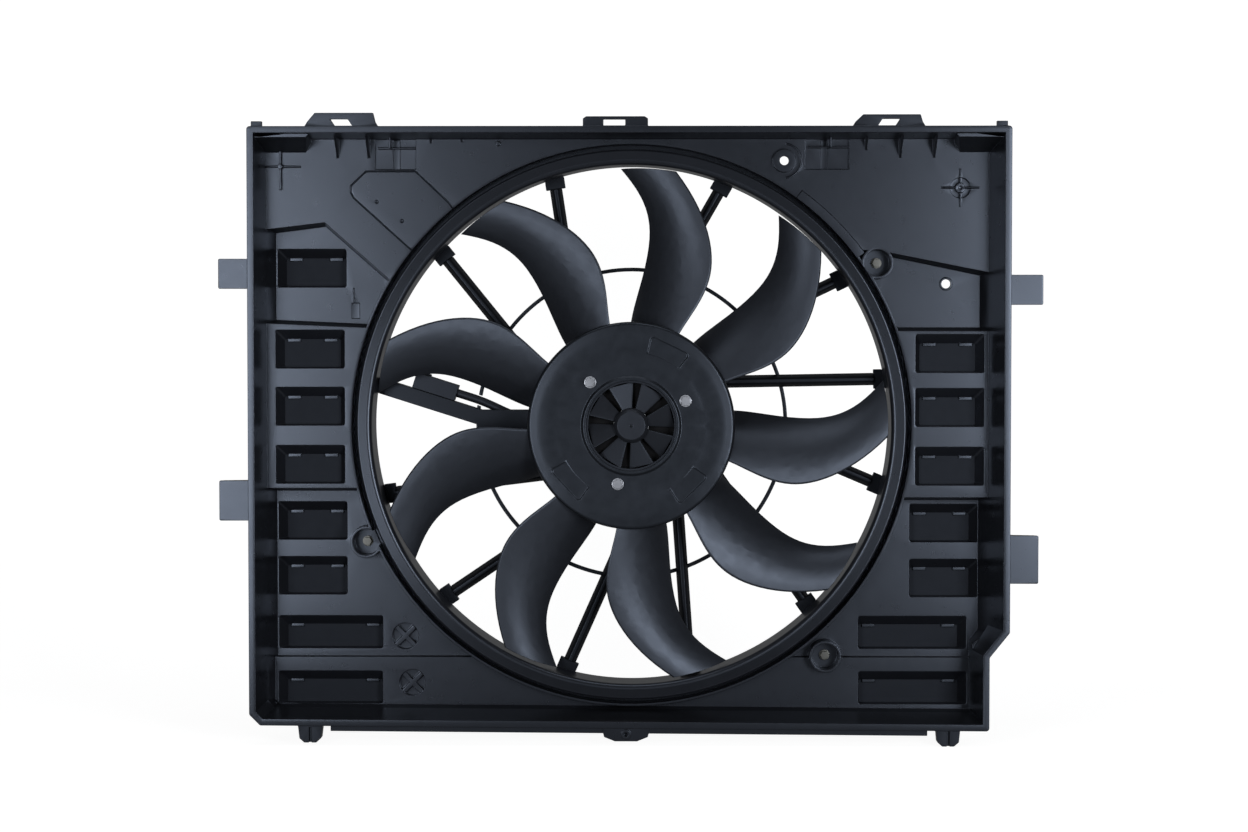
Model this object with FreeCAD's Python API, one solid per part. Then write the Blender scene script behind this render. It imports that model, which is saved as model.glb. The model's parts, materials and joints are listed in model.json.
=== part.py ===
import FreeCAD, Part
import math
import os

from FreeCAD import Vector

# Radiator cooling fan for a vehicle. Sizes are in millimetres.
# The fan is seen from the radiator: X runs to the right, Z up, and Y rearwards
# along the fan's axis. The origin is on that axis, in the plane of the front rim.
# The fan carrier is one moulding, made here as ring sectors, ears, struts, wide strut, hoop
# and motor seat, which meet face to face. So is the wheel, made as hub and blades. Each piece
# is then nearly convex, and the gaps between blades and between struts stay open.

# Front rim of the shroud, measured from the fan's axis
rim_left = 353.0
rim_right = 349.0
rim_top = 276.0
rim_bottom_left = 276.5
rim_bottom_right = 281.0
rim_depth = 7.0
rim_overhang = 3.6
corner_cut = 10.0
step_drop = 190.0
step_fall = 23.0
step_in = 18.5

# Tray of the shroud
wall = 2.6
tray_depth = 45.0
lean_left = 5.1
lean_right = 9.0
lean_foot = 4.6
lean_top = 3.0
lean_bottom = 5.0
field_lean = 3.0

# Deeper fields of the tray's back plate
pocket_depth = 62.0
foot_depth = 58.0
pocket_left = 334.5
pocket_right = 326.5
foot_left = 336.5
foot_right = 318.5
foot_top = 219.0
low_field_left = 62.5
low_field_right = 71.0
high_field_left = 98.0
high_field_right = 91.0

# Fan opening
barrel_radius = 242.5
barrel_wall = 3.0
lip_width = 14.0
lip_front = 33.0
lip_edge = 2.0
lip_fall = 3.6
lip_throat = 5.0
barrel_back = 82.0
sector_count = 30
opening_radius = 262.0
collar_back = 65.0
flange_thickness = 3.0
flange_reach = 4.0

# Screws that hold the fan carrier, as angle and distance from the axis
carrier_screw_places = [(33.4, 275.2), (203.9, 272.2), (309.9, 283.8)]
carrier_screw_size = 6.0
carrier_screw_well = 12.4

# Fan wheel
hub_radius = 96.5
hub_front = 22.0
hub_back = 68.0
hub_wall = 3.0
hub_rounding = 3.5
hub_opening = 42.0
hub_pads = [(-46.0, 12.0), (64.0, 13.0), (222.0, 13.0)]
hub_pad_ends = (66.0, 85.0)
hub_pad_depth = 0.9
tip_gap = 2.5
blade_starts = [24.0, 61.5, 101.0, 142.0, 181.0, 222.0, 261.0, 301.5, 339.0]
blade_thickness = 3.2
fan_screw_angles = [24.7, 133.2, 257.0]
fan_screw_circle = 55.5
fan_screw_size = 5.0

# Stations of a blade from root to tip: share of the way from the hub to the barrel, angles of
# the leading and trailing edges past the blade's start, depths of those edges, camber height
blade_stations = [
    (-0.0582, 1.5, 29.0, 27.0, 65.5, 6.0),
    (0.1062, 0.5, 26.5, 27.5, 65.0, 6.5),
    (0.2637, 0.0, 24.2, 29.0, 64.0, 7.0),
    (0.4349, 1.7, 23.0, 31.5, 62.5, 7.0),
    (0.6267, 6.5, 23.5, 35.0, 61.0, 6.5),
    (0.8116, 12.7, 26.6, 38.5, 60.0, 5.5),
    (1.0171, 20.3, 32.0, 42.0, 59.5, 4.5),
]

# Struts of the carrier
strut_angles = [10.0, 34.5, 69.0, 107.5, 138.0, 196.0, 223.0, 255.0, 283.0, 314.0, 346.0]
strut_offset = 38.0
strut_width = 11.5
strut_front = 76.0
strut_back = 92.0
strut_nose = 3.0
strut_foot_share = 0.93
strut_stub_share = 0.04
hoop_radius = 146.0
hoop_size = 3.6

# Motor
housing_radius = 65.0
seat_outer = housing_radius + 27.0
seat_wall = 3.0
housing_wall = 3.0
housing_gap = 1.5
base_front = 66.0
base_thickness = 6.0
housing_back = 100.0
ear_circle = housing_radius + 9.0
ear_radius = 8.0
ear_thickness = 5.0
housing_screw_angles = [45.0, 165.0, 285.0]
housing_screw_size = 5.0
bell_radius = 64.0
bell_wall = 3.0
bell_back = 64.0
vane_count = 8
vane_first = 59.5
vane_span = 36.0
vane_thickness = 1.8
vane_depth = 12.0
vane_tilt = 22.0
nose_radius = 16.0
shaft_radius = 5.0
bearing_radius = 13.0
bearing_width = 8.0
bearing_front = 39.0
bearing_rear = 68.0
magnet_thickness = 4.5
magnet_count = 10
air_gap = 1.0
slot_count = 12
stack_front = 44.0
stack_back = 60.0
tooth_width = 5.0
coil_overhang = 3.5
insulator_front = 39.3
insulator_wall = 1.0
board_depth = 86.0
board_thickness = 1.6
cover_screw_circle = housing_radius - 8.0
cover_screw_size = 4.0
seal_thickness = 1.0
cover_thickness = 3.0
cover_fin_height = 9.0
cover_fin_count = 9
fit_gap = 0.05
free_gap = 0.3

# The wide strut that carries the power lead, as points of its outline
cable_strut_low = [(4.0 - seat_outer, -6.0), (-144.0, -6.0), (-146.0, -1.0), (-250.0, 32.0)]
cable_strut_high = [(-246.0, 46.0), (-142.0, 13.0), (4.0 - seat_outer, 13.0)]
cable_strut_wall = 2.2
cable_strut_near = seat_outer + 5.0

# Power lead, from the motor along the wide strut to its plug housing
lead_radius = 4.0
lead_depth = 86.0
lead_route = [(5.0 - housing_radius, 3.5), (-104.0, 3.5), (-142.0, 21.2), (-166.0, 28.8)]
plug_length = 42.0
plug_height = 15.0
plug_depth = 17.0
plug_mouth = 16.0

# Windows in the back plate, each closed by a rubber flap
window_width_left = 65.0
window_width_right = 64.5
window_height = 36.0
wide_width_left = 98.5
wide_width_right = 102.0
wide_height = 31.0
duct_depth = 9.0
duct_wall = 1.8
duct_slope_side = 8.0
duct_slope_ring = 4.5
duct_slope_top = 9.0
duct_rounding = 2.0
hook_length = 12.0
hook_height = 2.4
flap_thickness = 1.6
flap_overlap = 2.2
bead_radius = 1.7
pin_radius = 1.2
pin_length = 3.5
pin_clearance = 0.25
window_tops_left = [165.0, 89.0, 35.5, -19.0, -73.0, -125.0]
window_tops_right = [85.0, 34.5, -20.5, -75.0, -127.0]
wide_tops = [-181.0, -233.0]

# Fittings of the shroud
tongue_front = 3.0
tongue_thickness = 3.0
centre_tab_ends = (-44.2, 15.6)
centre_tab_height = 8.9
bottom_lip_ends = (-278.0, 273.6)
bottom_lip_reach = 5.0
bottom_tab_ends = (-26.9, 17.6)
bottom_tab_height = 14.5
peg_width = 23.0
peg_depth = 13.0
hole_radius = 4.2
hole_places = [(142.4, 246.5, tray_depth, 10.8, 4.0), (294.9, 132.0, foot_depth, 6.0, 0.4)]
hole_arc = 16.6
ribbed_radius = 12.4
ribbed_depth = 5.5
ribbed_bar = 4.4
ribbed_places = [(-213.7, -200.4, pocket_depth), (-206.7, -244.1, foot_depth)]
gusset_places = [(-274.1, 18.0), (-245.1, 18.0), (-187.1, 4.5), (-158.2, 3.5), (218.8, 11.0), (250.5, 18.0),
                 (282.1, 18.0)]

# The plain panel beside the opening, outlined by a groove, and its two marks
panel_outline = [(-248.0, 237.4), (-201.2, 237.4), (-170.4, 208.4), (-150.0, 180.0), (-190.0, 150.0),
                 (-210.8, 167.4), (-259.5, 211.5), (-262.8, 217.5), (-262.8, 223.4)]
panel_marks = [(-237.8, 208.5), (-214.4, 190.7)]
groove_width = 1.1
groove_depth = 0.9

# Catch pockets under the top wall: their ends, foot, slot and rib along X, and the bar's height
catch_pockets = [(-239.5, -201.2, 238.6, -222.2, -224.5, 258.3), (161.9, 203.0, 238.6, 176.8, 185.2, 259.2)]
catch_depth = 3.5
catch_slot = 6.0

# Crossed bosses and ribs near the top corners
cross_boss = (306.5, 221.3)
cross_boss_radius = 9.5
cross_pin_radius = 4.8
cross_reach = 17.5
rib_cross = (-327.5, 241.2)
corner_foot = 254.5
corner_ends = (-304.0, 306.0)
bump_place = (-124.5, 262.5)
crescent_ends = (36.5, 54.0)
crescent_width = 6.0

nodes = {}


def spot(angle, radius):
    """A point in the XZ plane from its angle in degrees and its distance from the axis."""
    return radius * math.cos(math.radians(angle)), radius * math.sin(math.radians(angle))


def shrink(points, distance):
    """The outline moved inwards by a distance, with its corners kept sharp."""
    area = sum(a[0] * b[1] - b[0] * a[1] for a, b in zip(points, points[1:] + points[:1]))
    side = 1.0 if area > 0 else -1.0
    moved = []
    for before, here, after in zip(points[-1:] + points[:-1], points, points[1:] + points[:1]):
        lines = []
        for start, end in ((before, here), (here, after)):
            length = math.hypot(end[0] - start[0], end[1] - start[1])
            along = ((end[0] - start[0]) / length, (end[1] - start[1]) / length)
            normal = (-along[1] * side, along[0] * side)
            lines.append((along, normal))
        (a, m), (b, n) = lines
        bend = 1.0 + m[0] * n[0] + m[1] * n[1]
        moved.append((here[0] + distance * (m[0] + n[0]) / bend,
                      here[1] + distance * (m[1] + n[1]) / bend))
    return moved


def outline(points, y, radius=0.0):
    """A closed wire in the plane at y, its corners rounded by the radius."""
    edges = []
    arcs = []
    for before, here, after in zip(points[-1:] + points[:-1], points, points[1:] + points[:1]):
        corner = Vector(here[0], y, here[1])
        back = (Vector(before[0], y, before[1]) - corner).normalize()
        ahead = (Vector(after[0], y, after[1]) - corner).normalize()
        half = back.getAngle(ahead) / 2
        if radius <= 0:
            arcs.append((corner, None, corner))
            continue
        reach = radius / math.tan(half)
        middle = (back + ahead).normalize() * (radius / math.sin(half) - radius)
        arcs.append((corner + back * reach, corner + middle, corner + ahead * reach))
    for (start, middle, end), (following, _, _) in zip(arcs, arcs[1:] + arcs[:1]):
        if middle is not None:
            edges.append(Part.Arc(start, middle, end).toShape())
        edges.append(Part.makeLine(end, following))
    return Part.Wire(edges)


def plate(points, front, back, radius=0.0):
    """A plate of the outline between two depths."""
    return Part.Face(outline(points, front, radius)).extrude(Vector(0, back - front, 0))


def funnel(front_points, front, back_points, back, radius=0.0):
    """A straight-sided solid from one outline to another."""
    wires = [outline(front_points, front, radius), outline(back_points, back, radius)]
    return Part.makeLoft(wires, True, True)


def box(x0, x1, y0, y1, z0, z1):
    return Part.makeBox(x1 - x0, y1 - y0, z1 - z0, Vector(x0, y0, z0))


def rod(radius, front, back, x=0.0, z=0.0):
    return Part.makeCylinder(radius, back - front, Vector(x, front, z), Vector(0, 1, 0))


def tube(outer, inner, front, back, x=0.0, z=0.0):
    return rod(outer, front, back, x, z).cut(rod(inner, front, back, x, z))


def turned(profile):
    """A solid of revolution about the fan's axis from (radius, depth) points."""
    points = [Vector(r, y, 0) for r, y in profile]
    wire = Part.makePolygon(points + points[:1])
    return Part.Face(wire).revolve(Vector(0, 0, 0), Vector(0, 1, 0), 360)


def about_axis(shape, angle):
    """A copy turned about the fan's axis, counterclockwise as seen from the front."""
    copy = shape.copy()
    copy.rotate(Vector(0, 0, 0), Vector(0, -1, 0), angle)
    return copy


def rectangle(x0, x1, z0, z1):
    return [(x0, z0), (x1, z0), (x1, z1), (x0, z1)]


def bar_corners(start, end, width):
    """The four corners of a straight bar of a width between two points of the XZ plane."""
    length = math.hypot(end[0] - start[0], end[1] - start[1])
    side = (-(end[1] - start[1]) / length * width / 2, (end[0] - start[0]) / length * width / 2)
    return [(start[0] + side[0], start[1] + side[1]), (start[0] - side[0], start[1] - side[1]),
            (end[0] - side[0], end[1] - side[1]), (end[0] + side[0], end[1] + side[1])]


def bar_outline(start, end, width, y):
    return outline(bar_corners(start, end, width), y)


def bar(start, end, width, front, back):
    """A straight bar of a width between two points of the XZ plane."""
    return plate(bar_corners(start, end, width), front, back)


def fused(shapes):
    first, rest = shapes[0], shapes[1:]
    return first.fuse(rest).removeSplitter() if rest else first


def rim_outline():
    """The front rim as a closed outline, from the top left corner clockwise."""
    inner_right = rim_right - step_in
    return [(-rim_left, rim_top), (rim_right, rim_top), (rim_right, -step_drop),
            (inner_right, -step_drop - step_fall), (inner_right, -rim_bottom_right),
            (-rim_left + corner_cut, -rim_bottom_left), (-rim_left, -rim_bottom_left + corner_cut)]


def floor_outline(extra=0.0):
    """The tray's inner outline at its back plate; extra moves it out by the wall."""
    leans = [(lean_left, -lean_top), (-lean_right, -lean_top), (-lean_right, 0.0), (-lean_foot, 0.0),
             (-lean_foot, lean_bottom), (lean_left, lean_bottom), (lean_left, lean_bottom)]
    inside = shrink(rim_outline(), rim_overhang + wall - extra)
    return [(x + dx, z + dz) for (x, z), (dx, dz) in zip(inside, leans)]


def field(points, depth):
    """A deeper field of the back plate, as its hollow and its outside.

    Its sides lean, and a side by the tray's wall starts from that wall's foot.
    """
    floor = floor_outline()
    wall_feet = {-pocket_left: floor[0][0], -foot_left: floor[0][0],
                 pocket_right: floor[1][0], foot_right: floor[3][0]}
    front_points = []
    for (x, z), (moved_x, moved_z) in zip(points, shrink(points, -field_lean)):
        front_points.append((wall_feet.get(x, moved_x), moved_z))
    hollow = funnel(front_points, tray_depth, points, depth)
    outside = funnel(shrink(front_points, -wall), tray_depth, shrink(points, -wall), depth + wall)
    return hollow, outside


def fields():
    """The five deeper fields: two high, two low and the foot."""
    high_left = [(-pocket_left, 180.0), (-287.5, 186.0), (-234.0, 139.0), (-200.0, 109.0),
                 (-200.0, high_field_left - 6.0), (-pocket_left, high_field_left)]
    high_right = [(190.0, 163.0), (240.0, 158.0), (pocket_right, 140.0),
                  (pocket_right, high_field_right), (190.0, high_field_right)]
    low_left = [(-pocket_left, -low_field_left), (-200.0, -low_field_left),
                (-100.0, -foot_top), (-pocket_left, -foot_top)]
    low_right = [(pocket_right, -low_field_right), (200.0, -low_field_right), (100.0, -foot_top),
                 (foot_right, -foot_top), (foot_right, -step_drop - 14.0),
                 (pocket_right, -step_drop - 3.0)]
    inside = floor_outline()
    foot = [(-foot_left, -foot_top), (foot_right, -foot_top),
            (foot_right, inside[4][1] + 1.5), (-foot_left, inside[5][1] + 1.5)]
    return [field(high_left, pocket_depth), field(high_right, foot_depth),
            field(low_left, pocket_depth), field(low_right, pocket_depth), field(foot, foot_depth)]


def windows():
    """Each window as its side, its ends along X, its foot, its top and the depth of its plate."""
    found = []
    left_depths = [pocket_depth] + [tray_depth] * 3 + [pocket_depth] * 2
    for top, depth in zip(window_tops_left, left_depths):
        found.append((-1, top, window_width_left, window_height, depth))
    right_depths = [tray_depth] * 3 + [pocket_depth] * 2
    for top, depth in zip(window_tops_right, right_depths):
        found.append((1, top, window_width_right, window_height, depth))
    for top, depth in zip(wide_tops, (pocket_depth, foot_depth)):
        found.append((-1, top, wide_width_left, wide_height, depth))
        found.append((1, top, wide_width_right, wide_height, depth))
    rows = []
    for side, top, width, height, depth in found:
        if side < 0:
            x0 = -pocket_left + 1.0
            x1 = x0 + width
        else:
            x1 = foot_right - 2.5 if width > 90 else pocket_right + (3.5 if depth == tray_depth else 0.0)
            x0 = x1 - width
        rows.append((side, x0, x1, top - height, top, depth))
    return rows


def duct(side, x0, x1, z0, z1, depth):
    """A window's slanted duct: its hollow, its outside and the outline of its back end."""
    slopes = (duct_slope_side, duct_slope_ring if depth == tray_depth else 1.0)
    left_slope, right_slope = slopes if side < 0 else slopes[::-1]
    narrow = rectangle(x0 + left_slope, x1 - right_slope, z0 + 1.0, z1 - duct_slope_top)
    wide = rectangle(x0, x1, z0, z1)
    back = depth + duct_depth
    hollow = funnel(wide, depth - 0.01, narrow, back + 0.01, duct_rounding)
    outside = funnel(shrink(wide, -duct_wall), depth + 0.5, shrink(narrow, -duct_wall), back)
    return hollow, outside, narrow


def hooks(row):
    """Two small bars under a window's top edge that keep the flap from swinging forwards."""
    narrow = duct(*row)[2]
    back = row[5] + duct_depth
    top = narrow[2][1]
    bars = []
    for x in (narrow[0][0] + 3.0, narrow[1][0] - 3.0 - hook_length):
        bars.append(box(x, x + hook_length, back - 2.2, back, top - hook_height, top + 0.8))
    return bars


def hinge_place(row):
    """The flap's hinge line: its two ends along X, its depth and its height."""
    top, depth = row[4:]
    narrow = duct(*row)[2]
    low_x = narrow[0][0] - flap_overlap
    high_x = narrow[1][0] + flap_overlap
    return low_x, high_x, depth + duct_depth - 0.5, top - duct_slope_top + 6.0


def hinge_lugs(row):
    """The two eyes behind the plate that carry the flap's pins, and their holes."""
    low_x, high_x, y, z = hinge_place(row)
    depth = row[5]
    lugs = []
    holes = []
    for x in (low_x - 0.5 - pin_length, high_x + 0.5):
        lugs.append(box(x, x + pin_length, depth + wall - 0.5, y + 2.8, z - 2.8, z + 2.8))
        holes.append(Part.makeCylinder(pin_radius + pin_clearance, pin_length + 1,
                                       Vector(x - 0.5, y, z), Vector(1, 0, 0)))
    return lugs, holes


def flap(row):
    """A rubber flap with a bead and two pins at its top edge."""
    low_x, high_x, y, z = hinge_place(row)
    front = row[5] + duct_depth + free_gap
    back = front + flap_thickness
    foot = row[3] + 1.0 - flap_overlap
    reach = math.sqrt(bead_radius ** 2 - (front - y) ** 2)
    corners = [Vector(low_x, front, z - reach), Vector(low_x, front, foot), Vector(low_x, back, foot),
               Vector(low_x, back, z)]
    edges = [Part.makeLine(a, b) for a, b in zip(corners, corners[1:])]
    top = Vector(low_x, y, z + bead_radius)
    rear = Vector(low_x, y + bead_radius, z)
    face = Vector(low_x, y - bead_radius, z)
    edges.append(Part.makeLine(corners[-1], rear))
    edges.append(Part.Arc(rear, top, face).toShape())
    edges.append(Part.Arc(face,
                          Vector(low_x, y - bead_radius * 0.6, z - bead_radius * 0.8),
                          corners[0]).toShape())
    pieces = [Part.Face(Part.Wire(edges)).extrude(Vector(high_x - low_x, 0, 0))]
    for x, turn in ((low_x, -1), (high_x, 1)):
        pieces.append(Part.makeCylinder(pin_radius, pin_length, Vector(x, y, z), Vector(turn, 0, 0)))
    return fused(pieces)


def well(angle, radius):
    """A round well in the back plate for a carrier screw."""
    x, z = spot(angle, radius)
    shell = rod(carrier_screw_well + wall, tray_depth, collar_back, x, z)
    hollow = rod(carrier_screw_well, tray_depth - wall - 6, collar_back - wall, x, z)
    hole = rod(carrier_screw_size / 2 + 0.3, collar_back - wall - 1, collar_back + 1, x, z)
    return shell, hollow, hole


def top_clip(x0, x1, height, slant):
    """A lug on the top edge that hooks over the radiator, with a slanted window."""
    base = rim_top - 1.0
    top = rim_top + height
    profile = [(x0 - 3, base), (x1 + 3, base), (x1, base + 5), (x1 - 2, top), (x0 + 7, top), (x0, base + 5)]
    middle = (x0 + x1) / 2
    window = [(middle - 8 + slant, rim_top + 0.5), (middle + 8 + slant, rim_top + 0.5),
              (middle + 8 - slant, rim_top + 6.5), (middle - 8 - slant, rim_top + 6.5)]
    return plate(profile, 3.0, rim_depth + 2).cut(plate(window, 0.0, 20.0))


def centre_tab():
    """The broad tab in the middle of the top edge, with a square window and two hooks."""
    x0, x1 = centre_tab_ends
    base = rim_top - 1.0
    top = rim_top + centre_tab_height
    body = plate([(x0, base), (x1, base), (x1, top - 2), (x1 - 3, top), (x0 + 3, top), (x0, top - 2)],
                 2.0, rim_depth)
    middle = (x0 + x1) / 2 - 1
    window = box(middle - 10, middle + 10, 0, 20, rim_top + 0.5, rim_top + 6)
    hooks = [box(x, x + 4, 2.0, rim_depth + 4, top - 2.5, top) for x in (x0 + 5, x1 - 9)]
    return body.cut(window).fuse(hooks)


def bottom_lip():
    """The thin lip under the bottom edge, set back from the rim's face."""
    x0, x1 = bottom_lip_ends
    fall = (rim_bottom_right - rim_bottom_left) / (rim_right - step_in + rim_left - corner_cut)
    low0, low1 = [-rim_bottom_left - fall * (x + rim_left - corner_cut) for x in (x0, x1)]
    reach = bottom_lip_reach
    return plate([(x0, low0 + 1.0), (x1, low1 + 1.0), (x1, low1 - reach), (x0, low0 - reach)], 3.0, rim_depth)


def bottom_tab():
    """The tab in the middle of the bottom edge, with a round boss."""
    x0, x1 = bottom_tab_ends
    base = -rim_bottom_left - 1.5
    foot = -rim_bottom_left - bottom_tab_height
    body = plate([(x0, base), (x1, base), (x1 - 2, foot + 4), (x1 - 12, foot), (x0 + 12, foot),
                  (x0 + 2, foot + 4)], 2.0, rim_depth)
    middle = (x0 + x1) / 2
    boss = rod(4.6, 0.5, rim_depth + 3, middle, (base + foot) / 2)
    return body.fuse(boss).cut(rod(2.0, 0, 6.0, middle, (base + foot) / 2))


def tongue(side, reach, low, high):
    """A mounting tongue that stands out from the side of the rim, stiffened by a rib along each edge."""
    edge = rim_left if side < 0 else rim_right
    x0, x1 = sorted((side * (edge - 2.0), side * (edge + reach)))
    leaf = plate(rectangle(x0, x1, low, high), tongue_front, tongue_front + tongue_thickness, 1.5)
    ribs = []
    for z in (low, high - 2.2):
        rib = Part.Face(Part.makePolygon([
            Vector(side * (edge - 2.0), tongue_front, z), Vector(side * (edge - 2.0), tongue_front + 12, z),
            Vector(side * (edge + reach - 3.0), tongue_front + 5, z),
            Vector(side * (edge + reach - 3.0), tongue_front, z),
            Vector(side * (edge - 2.0), tongue_front, z)]))
        ribs.append(rib.extrude(Vector(0, 0, 2.2)))
    return fused([leaf] + ribs)


def peg(x, foot):
    """A tapered locating peg under the bottom edge, with a groove down its middle."""
    top = -rim_bottom_left + 1.0
    half = peg_width / 2
    front = [(x - half, top), (x + half, top), (x + half - 1.5, foot + 4), (x + half - 6, foot),
             (x - half + 6, foot), (x - half + 1.5, foot + 4)]
    body = plate(front, 1.5, 1.5 + peg_depth)
    groove = box(x - 1.2, x + 1.2, 0.0, 5.0, foot - 1, top - 3)
    hollow = box(x - half + 4, x + half - 4, 8.0, 30.0, foot + 5, top - 2)
    return body.cut([groove, hollow])


def round_hole(x, z, depth, boss_radius, boss_height):
    """A boss through the back plate with a plain round hole: the boss and the hole."""
    boss = rod(boss_radius, depth - boss_height, depth + wall, x, z)
    return boss, rod(hole_radius, depth - boss_height - 1, depth + wall + 1, x, z)


def hole_ridge():
    """The low half ring beside the first round hole."""
    x, z, depth = hole_places[0][:3]
    ring = tube(hole_arc, hole_arc - 1.4, depth - 1.0, depth + 0.5, x, z)
    return ring.common(box(x + 2, x + 30, depth - 5, depth + 5, z - 30, z + 30))


def panel_groove():
    """The groove round the plain panel, and its two round marks."""
    band = plate(panel_outline, tray_depth - 1, tray_depth + groove_depth, 2.0)
    inside = plate(shrink(panel_outline, groove_width), tray_depth - 2, tray_depth + 2, 2.0)
    marks = [rod(1.6, tray_depth - 1, tray_depth + 1.4, x, z) for x, z in panel_marks]
    return [band.cut(inside)] + marks


def catch_pocket(x0, x1, foot, slot_x, rib_x, bar_z):
    """A pocket under the top wall with a slot, a crossbar and an upright rib: adds, cuts and late adds."""
    top = floor_outline()[0][1]
    floor = tray_depth + catch_depth
    outside = box(x0 - wall, x1 + wall, tray_depth + 0.5, floor + wall, foot - wall, top + 1.0)
    hollow = box(x0, x1, tray_depth - 1, floor, foot, top)
    slot = box(slot_x, slot_x + catch_slot, tray_depth, floor + 1.4, foot, top - 1.0)
    bar_piece = box(x0 + 3.0, x1, tray_depth - 2.0, floor + 0.5, bar_z - 0.8, bar_z + 0.8)
    rib = box(rib_x - 0.7, rib_x + 0.7, tray_depth - 12.0, floor + 0.5, bar_z - 0.8, top + 1.0)
    return outside, [hollow, slot], [bar_piece, rib]


def crossed_boss():
    """A round boss in a ring groove, crossed by four low ribs: adds, cuts and late adds."""
    x, z = cross_boss
    floor = tray_depth + 3.0
    outside = rod(cross_boss_radius + 2.2, tray_depth + 0.5, floor + 2.0, x, z)
    groove = tube(cross_boss_radius, cross_pin_radius, tray_depth - 1, floor, x, z)
    dimple = rod(1.5, tray_depth - 1, tray_depth + 2.0, x, z)
    ribs = []
    for dx, dz in ((1, 0), (0, 1), (-1, 0), (0, -1)):
        near = (x + dx * (cross_pin_radius - 0.5), z + dz * (cross_pin_radius - 0.5))
        far = (x + dx * cross_reach, z + dz * cross_reach)
        ribs.append(bar(near, far, 1.3, tray_depth - 1.6, tray_depth + 0.5))
        ribs.append(bar(near, (x + dx * (cross_boss_radius + 0.5), z + dz * (cross_boss_radius + 0.5)), 1.3,
                        tray_depth, floor + 0.5))
    return outside, [groove, dimple], ribs


def crossed_ribs():
    """The upright and level ribs near the top left corner, with a pin where they meet."""
    x, z = rib_cross
    upright = box(x - 1.1, x + 1.1, tray_depth - 4.5, tray_depth + 0.5, z - 21.5, corner_foot + 1.0)
    level = box(x - 14.0, x + 18.7, tray_depth - 2.0, tray_depth + 0.5, z - 0.7, z + 0.7)
    return [upright, level, rod(2.4, tray_depth - 6.5, tray_depth + 0.5, x, z)]


def corner_block(side, end):
    """The wall thickened over a top corner, its underside sloping back to the plate."""
    edge = side * ((rim_left if side < 0 else rim_right) - rim_overhang - 0.5)
    low = corner_foot + 11.5
    top = rim_top - rim_overhang - 0.5
    front = [(edge, low), (end - side * 5.0, low), (end - side * 7.0, low + 2.0), (end - side * 7.0, top)]
    back = [(edge, corner_foot), (end, corner_foot), (end - side * 5.0, corner_foot + 9.0),
            (end - side * 5.0, top)]
    return funnel(front, 5.0, back, tray_depth + 0.5)


def crescent():
    """The low raised band beside the opening, at its upper right."""
    first, last = crescent_ends
    band = tube(opening_radius + wall + crescent_width, opening_radius, tray_depth - 1.2, tray_depth + 0.5)
    wedge = plate([(0, 0), spot(first, 400), spot(last, 400)], 0, 100)
    return band.common(wedge)


def side_notch():
    """The shallow notch in the upper left field and the rib over it: adds and cuts."""
    rib = box(-262.2, -261.0, pocket_depth - 1.5, pocket_depth + 0.5, 114.0, 128.0)
    return rib, box(-263.4, -255.9, pocket_depth - 1, pocket_depth + 1.6, 99.5, 114.0)


def ribbed_recess(x, z, depth):
    """A round blind recess crossed by two bars: its cup, its hollow and the bars."""
    floor = depth + ribbed_depth
    cup = rod(ribbed_radius + 2.0, depth + 0.5, floor + 1.8, x, z)
    bars = []
    for turn in (45, 135):
        dx, dz = spot(turn, ribbed_radius + 0.5)
        bars.append(bar((x - dx, z - dz), (x + dx, z + dz), ribbed_bar, depth + 0.4, floor + 0.5))
    return cup, rod(ribbed_radius, depth - 1, floor, x, z), bars


def gusset(x, reach):
    """A wedge rib that ties the top wall to the back plate and reaches down it."""
    floor = floor_outline()[0][1]
    top = rim_top - rim_overhang - wall
    front = Vector(x - 1.1, tray_depth - 1.6 * reach, top + 1)
    corner = Vector(x - 1.1, tray_depth + 0.5, floor + 0.5)
    foot = Vector(x - 1.1, tray_depth + 0.5, floor - reach)
    return Part.Face(Part.makePolygon([front, corner, foot, front])).extrude(Vector(2.2, 0, 0))


def fittings():
    """Everything that stands on the rim and the walls."""
    pieces = [tongue(-1, 27.0, 126.9, 154.5), tongue(-1, 27.0, -86.9, -49.8),
              tongue(1, 29.4, 112.1, 139.7), tongue(1, 26.2, -144.7, -100.2)]
    pieces += [top_clip(-297.6, -234.9, 12.3, 2.0), top_clip(205.8, 267.4, 10.6, -2.0), centre_tab()]
    for x in (-rim_left + 4.0, rim_right - 14.0):
        pieces.append(box(x, x + 10.0, 1.0, rim_depth, rim_top - 1.0, rim_top + 4.5))
    pieces += [peg(-296.7, -292.5), peg(292.7, -295.3), bottom_lip(), bottom_tab()]
    return pieces


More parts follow.
